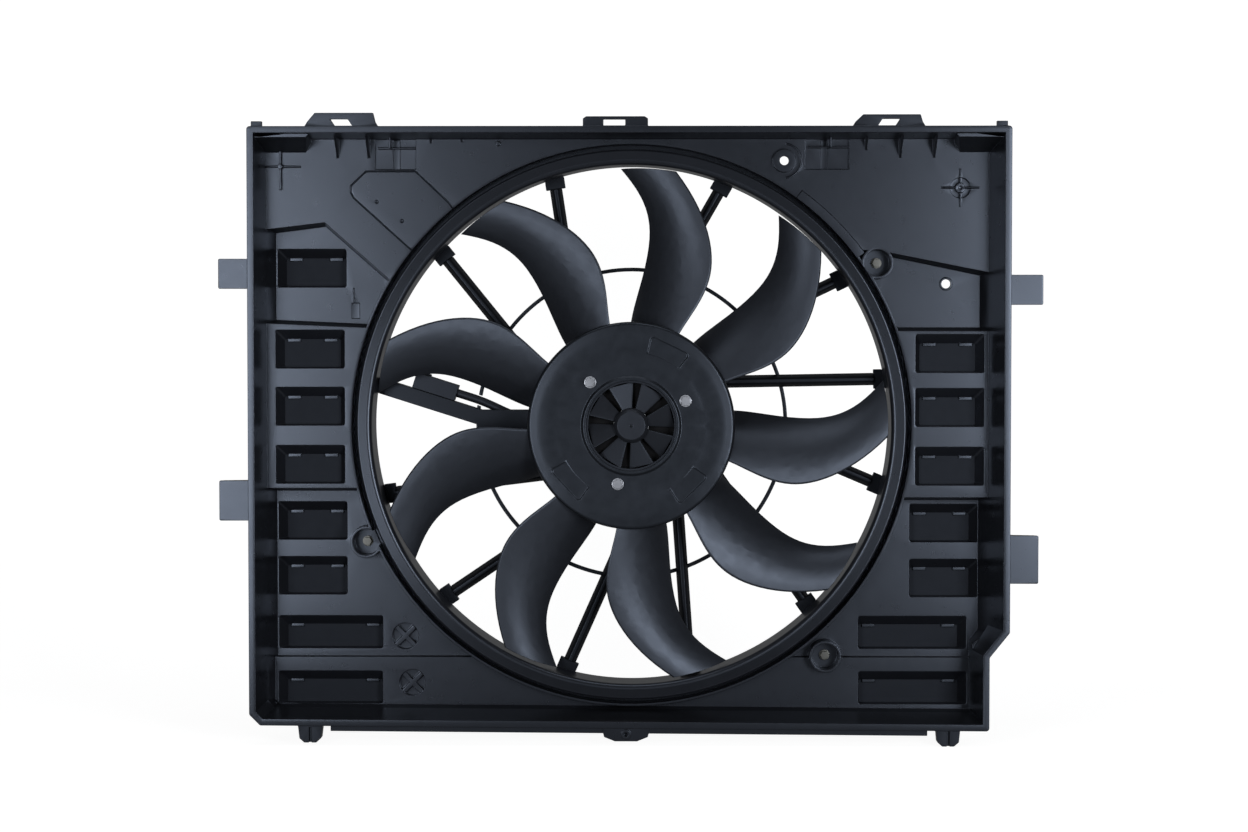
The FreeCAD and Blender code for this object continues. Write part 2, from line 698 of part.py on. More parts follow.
def shroud():
    """The moulded tray: rim, walls, stepped back plate, windows and fittings."""
    rim = rim_outline()
    shell = funnel(shrink(rim, rim_overhang), 0.0, floor_outline(wall), tray_depth + wall)
    shell = shell.fuse(plate(rim, 0.0, rim_depth, 3.0))
    deep = fields()
    solids = [outside for hollow, outside in deep]
    hollows = [funnel(shrink(rim, rim_overhang + wall), -0.01, floor_outline(), tray_depth)]
    hollows += [hollow for hollow, outside in deep]
    solids.append(rod(opening_radius + wall, tray_depth, collar_back))
    wells = [well(angle, radius) for angle, radius in carrier_screw_places]
    solids += [shell_part for shell_part, hollow, hole in wells]
    body = shell.fuse(solids)
    body = body.cut(hollows)
    collar = tube(opening_radius + wall, opening_radius - 1, tray_depth, collar_back)
    body = body.fuse([collar] + [part for part, hollow, hole in wells])
    ducts = [duct(*row) for row in windows()]
    lugs = []
    holes = []
    for row in windows():
        row_lugs, row_holes = hinge_lugs(row)
        lugs += row_lugs
        holes += row_holes
    pockets = [catch_pocket(*sizes) for sizes in catch_pockets] + [crossed_boss()]
    body = body.fuse([outside for hollow, outside, narrow in ducts])
    body = body.fuse(lugs + [outside for outside, pocket_cuts, late in pockets])
    body = body.cut([hollow for hollow, outside, narrow in ducts] + holes)
    cuts = [rod(opening_radius, 0.0, collar_back + 5)]
    for part, hollow, hole in wells:
        cuts += [hollow, hole]
    notch_rib, notch = side_notch()
    cuts += panel_groove() + [notch]
    adds = fittings() + [gusset(x, reach) for x, reach in gusset_places]
    adds += [corner_block(side, end) for side, end in zip((-1, 1), corner_ends)]
    adds += crossed_ribs() + [crescent(), hole_ridge(), notch_rib]
    adds.append(rod(2.2, tray_depth - 4.0, tray_depth + 0.5, *bump_place))
    for place in hole_places:
        boss, hole = round_hole(*place)
        adds.append(boss)
        cuts.append(hole)
    ribs = [bar_piece for row in windows() for bar_piece in hooks(row)]
    for outside, pocket_cuts, late in pockets:
        cuts += pocket_cuts
        ribs += late
    for x, z, depth in ribbed_places:
        cup, hollow, bars = ribbed_recess(x, z, depth)
        adds.append(cup)
        cuts.append(hollow)
        ribs += bars
    return body.fuse(adds).cut(cuts).fuse(ribs)


def ring_sectors():
    """The ring round the wheel in equal sectors: barrel, conical front lip and rear flange."""
    inner = barrel_radius
    outer = inner + barrel_wall
    edge = inner + lip_width
    r = lip_edge
    corner = r * (1 - math.sqrt(0.5))
    throat = lip_front + lip_fall + lip_throat
    flange_back = collar_back + flange_thickness
    path = [(inner, throat), (inner, barrel_back), (outer, barrel_back), (outer, flange_back),
            (opening_radius + flange_reach, flange_back), (opening_radius + flange_reach, collar_back),
            (outer, collar_back), (outer, throat + 3), (edge - barrel_wall, throat + 3),
            (edge - barrel_wall, throat + 8), (edge, throat + 8), (edge, lip_front + r)]
    points = [Vector(radius, y, 0) for radius, y in path]
    edges = [Part.makeLine(a, b) for a, b in zip(points, points[1:])]
    rim_end = Vector(edge - r, lip_front, 0)
    cone_end = Vector(inner + lip_throat, lip_front + lip_fall, 0)
    edges.append(Part.Arc(points[-1], Vector(edge - corner, lip_front + corner, 0), rim_end).toShape())
    edges.append(Part.makeLine(rim_end, cone_end))
    bend = Vector(inner + lip_throat * (1 - math.sqrt(0.5)), throat - lip_throat * math.sqrt(0.5), 0)
    edges.append(Part.Arc(cone_end, bend, points[0]).toShape())
    step = 360 / sector_count
    sector = Part.Face(Part.Wire(edges)).revolve(Vector(0, 0, 0), Vector(0, 1, 0), step)
    return [about_axis(sector, step * k) for k in range(sector_count)]


def carrier_ears():
    """The three ears outside the flange, with bosses that take the carrier screws."""
    ears = []
    back = collar_back + flange_thickness
    for angle, radius in carrier_screw_places:
        x, z = spot(angle, radius)
        ear = fused([rod(carrier_screw_well, collar_back, back, x, z),
                     bar(spot(angle, barrel_radius + barrel_wall), (x, z), 18.0, collar_back, back),
                     rod(carrier_screw_size / 2 + 3.5, collar_back, collar_back + 16, x, z)])
        hole = rod(carrier_screw_size / 2, collar_back - 1, collar_back + 14, x, z)
        ears.append(ear.cut([hole, rod(opening_radius + flange_reach, 0, 120)]))
    return ears


def strut_ends(angle):
    """The ends of a strut's middle line, on the motor seat's wall and in the barrel's wall."""
    far = barrel_radius + barrel_wall / 2
    near = seat_outer - seat_wall / 2
    turn = angle - math.degrees(math.asin(strut_offset / far))
    return spot(turn + math.degrees(math.asin(strut_offset / near)), near), spot(angle, far)


def strut(angle, first, last):
    """A strut between two shares of its length: a bar with a narrow nose that faces the wheel."""
    (x0, z0), (x1, z1) = strut_ends(angle)
    start, end = [(x0 + (x1 - x0) * share, z0 + (z1 - z0) * share) for share in (first, last)]
    shoulder = strut_front + (strut_width - strut_nose) / 2
    nose = Part.makeLoft([bar_outline(start, end, strut_nose, strut_front),
                          bar_outline(start, end, strut_width, shoulder)], True, True)
    return fused([bar(start, end, strut_width, shoulder, strut_back), nose])


def strut_foot(angle):
    """The wider block in which a strut ends at the barrel."""
    (x0, z0), end = strut_ends(angle)
    share = strut_foot_share
    start = (x0 + (end[0] - x0) * share, z0 + (end[1] - z0) * share)
    block = bar(start, end, strut_width + 7, strut_front + 4, strut_back - 4)
    return block.common(rod(barrel_radius - fit_gap, 0, 120))


def cable_channel():
    """The wide strut's channel, open to the rear: its body and its hollow."""
    points = cable_strut_low + cable_strut_high
    body = plate(points, strut_front, strut_back).common(rod(barrel_radius - fit_gap, 0, 120))
    hollow = plate(shrink(points, cable_strut_wall), strut_front + cable_strut_wall, strut_back + 1)
    return body, hollow.common(rod(barrel_radius - cable_strut_wall, 0, 120))


def cable_strut():
    """The wide strut that carries the power lead."""
    body, hollow = cable_channel()
    reach = box(-400, -cable_strut_near, 0, 120, -200, 200)
    return body.common(reach).cut([hollow, along_lead(lead_radius + 1.0)])


def struts():
    return [strut(angle, strut_stub_share, strut_foot_share) for angle in strut_angles]


def carrier_hoop():
    """The thin hoop that ties the struts together, as the pieces between them."""
    middle = (strut_front + strut_back) / 2 + 2
    hoop = tube(hoop_radius + hoop_size / 2, hoop_radius - hoop_size / 2, middle - hoop_size / 2,
                middle + hoop_size / 2)
    return hoop.cut(struts() + [cable_channel()[0], along_lead(lead_radius + 1.0)]).Solids


def motor_seat():
    """The seat for the motor: a plate with an inner and an outer wall, and the struts' inner stubs."""
    inner = housing_radius + housing_gap
    floor = tube(seat_outer, inner, strut_front, strut_front + seat_wall)
    outer_wall = tube(seat_outer, seat_outer - seat_wall, strut_front, strut_back)
    inner_wall = tube(inner + 2.5, inner, strut_front, strut_back - 2)
    stubs = [strut(angle, 0.0, strut_stub_share) for angle in strut_angles]
    channel, channel_hollow = cable_channel()
    reach = box(-cable_strut_near, 0, 0, 120, -50, 50)
    stubs.append(channel.common(reach))
    gate_height = lead_radius + 5.0
    gate = box(-seat_outer - 1, -housing_radius, strut_front + seat_wall, strut_back + 1,
               lead_route[0][1] - gate_height, lead_route[0][1] + gate_height)
    core = rod(seat_outer - seat_wall, 0, 120)
    cuts = [gate, along_lead(lead_radius + 1.0), channel_hollow.common(reach).cut(core)]
    bosses = []
    for angle in housing_screw_angles:
        x, z = spot(angle, ear_circle)
        bosses.append(rod(5.7, strut_front, strut_back - 2, x, z))
        cuts.append(rod(housing_screw_size / 2, strut_front - 1, strut_back - 6, x, z))
    outside = tube(seat_outer + 20, seat_outer - seat_wall, strut_front - 1, strut_back + 1)
    stubs = [stub.common(outside) for stub in stubs]
    return floor.fuse([outer_wall, inner_wall] + stubs + bosses).cut(cuts)


def lead_path():
    """The lead's route: straight runs joined by arcs tangent to both."""
    points = [Vector(x, lead_depth, z) for x, z in lead_route]
    edges = []
    here = points[0]
    radii = []
    for before, corner, after in zip(points, points[1:], points[2:]):
        back = before - corner
        ahead = after - corner
        turn = math.pi - back.getAngle(ahead)
        reach = 0.45 * min(back.Length, ahead.Length)
        radius = reach / math.tan(turn / 2)
        radii.append(round(radius, 1))
        start = corner + back.normalize() * reach
        end = corner + ahead.normalize() * reach
        middle = (back + ahead).normalize() * (radius / math.cos(turn / 2) - radius)
        edges.append(Part.makeLine(here, start))
        edges.append(Part.Arc(start, corner + middle, end).toShape())
        here = end
    edges.append(Part.makeLine(here, points[-1]))
    return Part.Wire(edges), radii


def along_lead(radius):
    """A tube of a radius along the lead's route."""
    wire = lead_path()[0]
    x, z = lead_route[0]
    circle = Part.makeCircle(radius, Vector(x, lead_depth, z), Vector(1, 0, 0))
    return wire.makePipeShell([Part.Wire(circle)], True, False)


def screw(x, z, seat, size, head_radius, head_height, length):
    """A flanged hex screw whose head bears on a face at the depth seat."""
    washer = rod(head_radius, seat - 1.2, seat, x, z)
    corner = head_radius * 0.82
    points = [(x + corner * math.cos(math.radians(60 * k)), z + corner * math.sin(math.radians(60 * k)))
              for k in range(6)]
    head = plate(points, seat - head_height, seat - 1.0)
    shank = rod(size / 2 - fit_gap, seat - 0.5, seat + length, x, z)
    return fused([washer, head, shank])


def carrier_screws():
    seat = collar_back - wall
    return [screw(*spot(angle, radius), seat, carrier_screw_size, 5.0, 5.0, wall + 12.0)
            for angle, radius in carrier_screw_places]


def blade_section(station, start_angle):
    """A blade's cambered section in a plane across the radius at one station."""
    share, lead_angle, trail_angle, lead_depth_here, trail_depth, camber = station
    radius = hub_radius + share * (barrel_radius - hub_radius)
    middle = (lead_angle + trail_angle) / 2
    half = radius * math.tan(math.radians((trail_angle - lead_angle) / 2))
    cos, sin = (math.cos(math.radians(start_angle + middle)), math.sin(math.radians(start_angle + middle)))
    chord = math.hypot(2 * half, trail_depth - lead_depth_here)
    along = (2 * half / chord, (trail_depth - lead_depth_here) / chord)
    bulge = (along[1], -along[0])

    def place(share, height):
        across = -half + share * 2 * half + bulge[0] * height
        depth = lead_depth_here + share * (trail_depth - lead_depth_here) + bulge[1] * height
        return Vector(radius * cos - across * sin, depth, radius * sin + across * cos)

    shares = [0.0, 0.15, 0.4, 0.7, 1.0]
    front = []
    back = []
    for share in shares:
        arch = camber * 4 * share * (1 - share)
        half_thickness = blade_thickness / 2 * (1.0 - 0.45 * share)
        front.append(place(share, arch + half_thickness))
        back.append(place(share, arch - half_thickness))
    front_curve = Part.BSplineCurve()
    front_curve.interpolate(front)
    back_curve = Part.BSplineCurve()
    back_curve.interpolate(back)
    nose = place(-blade_thickness / chord / 2.5, 0.0)
    return Part.Wire([front_curve.toShape(), Part.makeLine(front[-1], back[-1]), back_curve.toShape(),
                      Part.makeLine(back[0], nose), Part.makeLine(nose, front[0])])


def blade(start_angle):
    """A swept blade from the hub's wall to its free tip."""
    body = Part.makeLoft([blade_section(station, start_angle) for station in blade_stations], True)
    return body.common(tube(barrel_radius - tip_gap, hub_radius, 0.0, 100.0))


def hub_pad(angle, half):
    """A shallow sunk pad in the hub's face, with leaning sides."""
    inner, outer = hub_pad_ends
    low = [spot(angle - half, inner), spot(angle - half, outer), spot(angle + half, outer),
           spot(angle + half, inner)]
    face = hub_front - 0.8
    return funnel(shrink(low, -1.5), face - 0.8, low, face + hub_pad_depth, 3.0)


def fan_hub():
    """The hub: a bowl open to the rear with a round rim, a stepped face and an opening."""
    outer = hub_radius
    inner = outer - hub_wall
    back = hub_front + hub_wall
    r = hub_rounding
    arc_middle = r * (1 - math.sqrt(0.5))
    lines = [(outer, hub_front + r), (outer, hub_back), (inner, hub_back), (inner, back + 2),
             (inner - 2, back), (bell_radius, back), (bell_radius, back + 0.5), (hub_opening, back + 0.5),
             (hub_opening, hub_front - 1.6), (hub_opening + 2.6, hub_front - 1.6),
             (hub_opening + 4.6, hub_front + 0.5), (bell_radius + 4, hub_front + 0.5),
             (bell_radius + 6.5, hub_front - 0.8), (outer - r - 9, hub_front - 0.8), (outer - r, hub_front)]
    points = [Vector(radius, y, 0) for radius, y in lines]
    edges = [Part.makeLine(a, b) for a, b in zip(points, points[1:])]
    bend = Vector(outer - arc_middle, hub_front + arc_middle, 0)
    edges.append(Part.Arc(points[-1], bend, points[0]).toShape())
    bowl = Part.Face(Part.Wire(edges)).revolve(Vector(0, 0, 0), Vector(0, 1, 0), 360)
    holes = [rod(fan_screw_size / 2 + 0.2, 0, back + 5, *spot(angle, fan_screw_circle))
             for angle in fan_screw_angles]
    return bowl.cut(holes + [hub_pad(angle, half) for angle, half in hub_pads])


def fan_blades():
    return [blade(angle) for angle in blade_starts]


def fan_screws():
    return [screw(*spot(angle, fan_screw_circle), hub_front + 0.5, fan_screw_size, 5.6, 4.6, 8.0)
            for angle in fan_screw_angles]


def rotor_bell():
    """The motor's turning bell: nose, wide tilted vanes, front ring and wall."""
    front = hub_front + hub_wall + 0.5
    ring_inner = hub_opening - 2.0
    ring = tube(bell_radius, ring_inner, front, front + 3.0)
    skirt = tube(bell_radius, bell_radius - bell_wall, front, bell_back)
    collar = tube(ring_inner + 2.2, ring_inner, front, front + vane_depth)
    nose = turned([(0, front - 3.4), (1.6, front - 2), (nose_radius - 3, front - 2), (nose_radius, front + 1),
                   (nose_radius, front + vane_depth), (0, front + vane_depth)])
    half = vane_span / 2
    leaf = [spot(-half, nose_radius - 2), spot(-half, ring_inner + 1), spot(half, ring_inner + 1),
            spot(half, nose_radius - 2)]
    vanes = []
    for k in range(vane_count):
        vane = plate(leaf, -vane_thickness / 2, vane_thickness / 2)
        vane.rotate(Vector(0, 0, 0), Vector(1, 0, 0), vane_tilt)
        vane.translate(Vector(0, front + vane_depth / 2, 0))
        vanes.append(about_axis(vane, vane_first + 360 / vane_count * k))
    body = ring.fuse([skirt, collar, nose] + vanes)
    holes = [rod(fan_screw_size / 2, front - 1, front + 4, *spot(angle, fan_screw_circle))
             for angle in fan_screw_angles]
    bore = rod(shaft_radius, front + 1.5, front + vane_depth + 1)
    return body.cut(holes + [bore])


def rotor_magnets():
    """Curved magnets seated inside the bell's wall, beside the stator's teeth."""
    outer = bell_radius - bell_wall - fit_gap
    band = tube(outer, outer - magnet_thickness, stack_front - 1, stack_back + 1)
    pieces = []
    for k in range(magnet_count):
        half = 180 / magnet_count - 1.5
        middle = 360 / magnet_count * k
        sector = plate([(0, 0), spot(middle - half, 90), spot(middle + half, 90)], 0, 100)
        pieces.append(band.common(sector))
    return pieces


def motor_shaft():
    front = hub_front + hub_wall + 2.0
    back = bearing_rear + bearing_width + 3
    body = rod(shaft_radius - fit_gap / 2, front, back)
    groove = tube(shaft_radius + 1, shaft_radius - 0.6, back - 2.2, back - 1.2)
    return body.cut(groove)


def shaft_clip():
    """The spring clip in the shaft's groove behind the rear bearing."""
    back = bearing_rear + bearing_width + 3
    ring = tube(shaft_radius + 2.2, shaft_radius - 0.55, back - 2.15, back - 1.25)
    return ring.cut(box(0, 20, back - 3, back, -1.5, 1.5))


def bearing(front):
    """A sealed ball bearing: two rings and the shield between them."""
    inner = tube(shaft_radius + 2.0, shaft_radius + fit_gap, front, front + bearing_width)
    outer = tube(bearing_radius - fit_gap, bearing_radius - 2.0, front, front + bearing_width)
    shield = tube(bearing_radius - 1.5, shaft_radius + 1.5, front + 0.6, front + bearing_width - 0.6)
    return fused([inner, shield, outer])


def housing():
    """The motor housing: bearing tube, base, cup for the electronics and three ears."""
    base_back = base_front + base_thickness
    tube_outer = bearing_radius + 3.5
    profile = [(bearing_radius, bearing_front - 1), (tube_outer, bearing_front - 1), (tube_outer, base_front),
               (housing_radius, base_front), (housing_radius, housing_back),
               (housing_radius - housing_wall, housing_back), (housing_radius - housing_wall, base_back),
               (tube_outer, base_back), (tube_outer, bearing_rear + bearing_width + 1),
               (bearing_radius, bearing_rear + bearing_width + 1)]
    body = turned(profile)
    adds = []
    cuts = []
    for angle in housing_screw_angles:
        x, z = spot(angle, ear_circle)
        adds.append(rod(ear_radius, strut_front - ear_thickness, strut_front, x, z))
        adds.append(bar(spot(angle, housing_radius - 2), (x, z), 2 * ear_radius, strut_front - ear_thickness,
                        strut_front))
        cuts.append(rod(housing_screw_size / 2 + 0.3, 60, 90, x, z))
    for k in range(4):
        x, z = spot(45 + 90 * k, cover_screw_circle)
        adds.append(rod(4.5, base_back - 1, housing_back, x, z))
        cuts.append(rod(cover_screw_size / 2, housing_back - 14, housing_back + 1, x, z))
        x, z = spot(15 + 90 * k, 44.0)
        adds.append(rod(3.0, base_back - 1, board_depth, x, z))
    inlet = Vector(-housing_radius - 10, lead_depth, lead_route[0][1])
    grommet_hole = Part.makeCylinder(lead_radius + 2.0, 20, inlet, Vector(1, 0, 0))
    body = body.fuse(adds)
    return body.cut(cuts + [grommet_hole])


def housing_screws():
    return [screw(*spot(angle, ear_circle), strut_front - ear_thickness, housing_screw_size, 5.0, 4.5, 14.0)
            for angle in housing_screw_angles]


def stator_core():
    """The laminated core: a ring on the bearing tube with twelve teeth and shoes."""
    shoe_outer = bell_radius - bell_wall - magnet_thickness - air_gap
    tube_outer = bearing_radius + 3.5
    yoke = rod(27.0, stack_front, stack_back)
    shoes = tube(shoe_outer, shoe_outer - 3.0, stack_front, stack_back)
    cuts = []
    teeth = []
    for k in range(slot_count):
        middle = 360 / slot_count * k
        tooth = box(20, shoe_outer - 1, stack_front, stack_back, -tooth_width / 2, tooth_width / 2)
        teeth.append(about_axis(tooth, middle))
        gap = box(shoe_outer - 6, shoe_outer + 2, stack_front - 1, stack_back + 1, -1.5, 1.5)
        cuts.append(about_axis(gap, middle + 180 / slot_count))
    body = yoke.fuse([shoes] + teeth)
    return body.cut(cuts + [rod(tube_outer + fit_gap, 0, 100)])


def stator_windings():
    """A coil around each tooth."""
    coils = []
    for k in range(slot_count):
        outer = box(29.0, 49.0, stack_front - coil_overhang, stack_back + coil_overhang,
                    -tooth_width / 2 - 3.2, tooth_width / 2 + 3.2)
        inner = box(28.0, 50.0, stack_front - 0.1, stack_back + 0.1,
                    -tooth_width / 2 - 0.1, tooth_width / 2 + 0.1)
        coils.append(about_axis(outer.cut(inner), 360 / slot_count * k))
    return coils


def stator_insulator():
    """The end caps that keep the coils off the core, the front one with a shield over the coils."""
    inner = bearing_radius + 3.5 + fit_gap
    front = tube(26.8, inner, insulator_front, stack_front)
    shield = tube(50.5, inner, insulator_front, insulator_front + insulator_wall)
    back = tube(26.8, inner, stack_back, stack_back + coil_overhang + 1.0)
    return [fused([front, shield]), back]


def preload_washer():
    """The spring washer between the rear bearing and the shaft's clip."""
    start = bearing_rear + bearing_width + fit_gap
    return tube(shaft_radius + 3.0, shaft_radius + 0.2, start, start + 0.75)


def control_board():
    """The round board behind the motor, notched for the cover's screw posts."""
    board = rod(housing_radius - housing_wall - 1.5, board_depth, board_depth + board_thickness)
    front, back = board_depth - 5, board_depth + 5
    notches = [rod(5.5, front, back, *spot(45 + 90 * k, cover_screw_circle)) for k in range(4)]
    notches.append(box(-housing_radius - 5, 19 - housing_radius, front, back, -8, 15))
    return board.cut(notches)


def board_parts():
    """Capacitors and the choke on the front of the board."""
    pieces = [rod(5.0, board_depth - 11, board_depth, *spot(angle, 30.0)) for angle in (80, 110, 140)]
    pieces.append(rod(8.0, board_depth - 9, board_depth, *spot(-20, 30.0)))
    return pieces


def cover_seal():
    return tube(housing_radius, housing_radius - housing_wall, housing_back, housing_back + seal_thickness)


def rear_cover():
    """The electronics' cooling cover with straight fins."""
    front = housing_back + seal_thickness
    back = front + cover_thickness
    body = rod(housing_radius, front, back)
    fins = []
    pitch = 2 * (housing_radius - 8) / (cover_fin_count - 1)
    for k in range(cover_fin_count):
        z = -housing_radius + 8 + pitch * k
        half = math.sqrt(max((housing_radius - 4) ** 2 - z ** 2, 100.0))
        fins.append(box(-half, half, back - 0.5, back + cover_fin_height, z - 1.1, z + 1.1))
    cuts = []
    for k in range(4):
        x, z = spot(45 + 90 * k, cover_screw_circle)
        cuts.append(rod(6.5, back, back + 20, x, z))
        cuts.append(rod(cover_screw_size / 2 + 0.2, front - 1, back + 1, x, z))
    return body.fuse(fins).cut(cuts)


def cover_screws():
    """Four screws that come in from the rear."""
    seat = housing_back + seal_thickness + cover_thickness
    pieces = []
    for k in range(4):
        x, z = spot(45 + 90 * k, cover_screw_circle)
        head = rod(4.2, seat, seat + 3.0, x, z)
        socket = rod(1.8, seat + 1.2, seat + 4.0, x, z)
        shank = rod(cover_screw_size / 2 - fit_gap, seat - 14, seat + 0.5, x, z)
        pieces.append(fused([head, shank]).cut(socket))
    return pieces


def lead_grommet():
    """The rubber grommet where the lead leaves the housing."""
    z = lead_route[0][1]

    def sleeve(radius, x0, x1):
        return Part.makeCylinder(radius, x1 - x0, Vector(x0, lead_depth, z), Vector(1, 0, 0))

    neck = sleeve(lead_radius + 2.0 - fit_gap, -housing_radius - 0.5, -housing_radius + housing_wall + 2.0)
    flange = sleeve(lead_radius + 2.9, -housing_radius - 2.6, -housing_radius - 0.1)
    return fused([neck, flange]).cut(sleeve(lead_radius + fit_gap, -housing_radius - 9, 9 - housing_radius))


def plug_frame():
    """Unit vectors along the plug and across it, and the place of its inlet."""
    end = Vector(lead_route[-1][0], lead_depth, lead_route[-1][1])
    before = Vector(lead_route[-2][0], lead_depth, lead_route[-2][1])
    return end, (end - before).normalize()


def at_plug(shape):
    """The shape moved from the origin to the lead's end, along the lead."""
    end, along = plug_frame()
    shape.rotate(Vector(0, 0, 0), Vector(0, -1, 0), math.degrees(math.atan2(along.z, along.x)))
    shape.translate(end)
    return shape


def plug_housing():
    """The motor's plug housing with its open mouth and a latch ramp."""
    body = box(0, plug_length, -plug_depth / 2, plug_depth / 2, -plug_height / 2, plug_height / 2)
    mouth = box(plug_length - plug_mouth, plug_length + 1, -plug_depth / 2 + 2, plug_depth / 2 - 2,
                -plug_height / 2 + 2, plug_height / 2 - 2)
    ramp = box(plug_length - 14, plug_length - 6, -3.5, 3.5, -plug_height / 2 - 1.8, -plug_height / 2 + 0.5)
    return at_plug(body.cut(mouth).fuse(ramp))


def plug_contacts():
    """Two blade contacts that stand on the floor of the plug's mouth."""
    start = plug_length - plug_mouth
    blades = [box(start, start + 11.0, y - 2.0, y + 2.0, -0.5, 0.5) for y in (-3.6, 3.6)]
    return [at_plug(blade_contact) for blade_contact in blades]


nodes["shroud"] = shroud()
nodes["fan_ring"] = Part.makeCompound(ring_sectors())
nodes["carrier_ears"] = Part.makeCompound(carrier_ears())
nodes["carrier_struts"] = Part.makeCompound(struts() + [strut_foot(angle) for angle in strut_angles])
nodes["cable_strut"] = cable_strut()
nodes["carrier_hoop"] = Part.makeCompound(carrier_hoop())
nodes["motor_seat"] = motor_seat()
nodes["carrier_screws"] = Part.makeCompound(carrier_screws())
nodes["fan_hub"] = fan_hub()
nodes["fan_blades"] = Part.makeCompound(fan_blades())
nodes["fan_screws"] = Part.makeCompound(fan_screws())
nodes["rotor_bell"] = rotor_bell()
nodes["rotor_magnets"] = Part.makeCompound(rotor_magnets())
nodes["motor_shaft"] = motor_shaft()
nodes["shaft_clip"] = shaft_clip()
nodes["front_bearing"] = bearing(bearing_front)
nodes["rear_bearing"] = bearing(bearing_rear)
nodes["preload_washer"] = preload_washer()
nodes["motor_housing"] = housing()
nodes["housing_screws"] = Part.makeCompound(housing_screws())
nodes["stator_core"] = stator_core()
nodes["stator_insulator"] = Part.makeCompound(stator_insulator())
nodes["stator_windings"] = Part.makeCompound(stator_windings())
nodes["control_board"] = control_board()
nodes["board_parts"] = Part.makeCompound(board_parts())
nodes["cover_seal"] = cover_seal()
nodes["rear_cover"] = rear_cover()
nodes["cover_screws"] = Part.makeCompound(cover_screws())
nodes["lead_grommet"] = lead_grommet()
nodes["power_lead"] = along_lead(lead_radius)
nodes["plug_housing"] = plug_housing()
nodes["plug_contacts"] = Part.makeCompound(plug_contacts())
for side, word in ((-1, "left"), (1, "right")):
    rows = [row for row in windows() if row[0] == side]
    for number, row in enumerate(sorted(rows, key=lambda row: -row[4]), 1):
        nodes["flap_" + word + "_" + str(number)] = flap(row)

print("lead radii", lead_path()[1], "length", round(lead_path()[0].Length, 1))

os.makedirs("parts", exist_ok=True)
for name, shape in nodes.items():
    shape.exportStep("parts/" + name + ".step")
    print(name, "solids", len(shape.Solids), "valid", shape.isValid(), "volume", round(shape.Volume))
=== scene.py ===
# %% Loading the frame
import bmesh
import bpy
import json
import math
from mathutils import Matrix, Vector
from mathutils.bvhtree import BVHTree


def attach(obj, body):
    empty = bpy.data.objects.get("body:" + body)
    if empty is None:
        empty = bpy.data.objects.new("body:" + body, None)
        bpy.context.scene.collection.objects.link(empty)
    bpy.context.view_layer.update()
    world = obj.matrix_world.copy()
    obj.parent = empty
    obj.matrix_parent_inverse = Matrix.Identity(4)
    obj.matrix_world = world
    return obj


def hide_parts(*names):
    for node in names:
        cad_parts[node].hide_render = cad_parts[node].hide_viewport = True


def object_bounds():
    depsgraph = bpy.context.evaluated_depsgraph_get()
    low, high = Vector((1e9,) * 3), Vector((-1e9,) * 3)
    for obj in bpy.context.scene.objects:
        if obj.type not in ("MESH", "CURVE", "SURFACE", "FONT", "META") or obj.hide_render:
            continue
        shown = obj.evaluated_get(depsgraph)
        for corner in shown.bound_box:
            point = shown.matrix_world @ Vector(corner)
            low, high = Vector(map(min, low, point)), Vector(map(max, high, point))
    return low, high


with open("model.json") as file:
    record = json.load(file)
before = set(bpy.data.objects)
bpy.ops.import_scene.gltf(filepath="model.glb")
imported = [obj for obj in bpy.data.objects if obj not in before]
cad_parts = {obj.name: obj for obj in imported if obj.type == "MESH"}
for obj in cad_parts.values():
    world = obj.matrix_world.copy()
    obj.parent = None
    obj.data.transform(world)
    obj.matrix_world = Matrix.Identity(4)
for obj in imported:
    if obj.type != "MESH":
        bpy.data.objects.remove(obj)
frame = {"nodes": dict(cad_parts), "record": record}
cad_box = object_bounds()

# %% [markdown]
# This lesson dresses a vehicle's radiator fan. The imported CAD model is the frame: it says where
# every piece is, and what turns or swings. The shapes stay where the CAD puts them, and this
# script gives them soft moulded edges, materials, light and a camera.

MM = 0.001
nodes = frame["nodes"]

# %% [markdown]
# ## Stage
# The photograph is a product shot on pure white. A floor that curves up into a wall behind the
# object gives the same picture without a horizon. It could be a plane and a world colour, but
# then the floor would have no shadow, so it is one swept sheet with a white, luminous finish.
# Its back is made invisible later, so that the object can be seen from behind.

# %% Backdrop shape
floor_height = cad_box[0][2] - 0.5 * MM
wall_depth = 0.9
bend_radius = 0.5
half_width = 2.6
near_depth = -0.75
wall_top = 2.4
bend_segments = 24


def build_backdrop():
    """The floor and the wall as one bent line, swept from side to side."""
    sheet = bmesh.new()
    start = sheet.verts.new((-half_width, near_depth, floor_height))
    corner = sheet.verts.new((-half_width, wall_depth, floor_height))
    top = sheet.verts.new((-half_width, wall_depth, wall_top))
    sheet.edges.new((start, corner))
    sheet.edges.new((corner, top))
    bmesh.ops.bevel(sheet, geom=[corner], offset=bend_radius, offset_type="OFFSET",
                    segments=bend_segments, profile=0.5, affect="VERTICES", material=-1)
    swept = bmesh.ops.extrude_edge_only(sheet, edges=sheet.edges[:])
    moved = [item for item in swept["geom"] if isinstance(item, bmesh.types.BMVert)]
    bmesh.ops.translate(sheet, verts=moved, vec=(2 * half_width, 0, 0))
    bmesh.ops.recalc_face_normals(sheet, faces=sheet.faces)
    # The lit side has to look at the object
    if max(sheet.faces, key=lambda face: face.calc_center_median().z).normal.y > 0:
        bmesh.ops.reverse_faces(sheet, faces=sheet.faces)
    for face in sheet.faces:
        face.smooth = True
    data = bpy.data.meshes.new("studio_backdrop")
    sheet.to_mesh(data)
    sheet.free()
    backdrop = bpy.data.objects.new("studio_backdrop", data)
    bpy.context.scene.collection.objects.link(backdrop)
    return backdrop


backdrop = build_backdrop()
print("backdrop faces", len(backdrop.data.polygons))

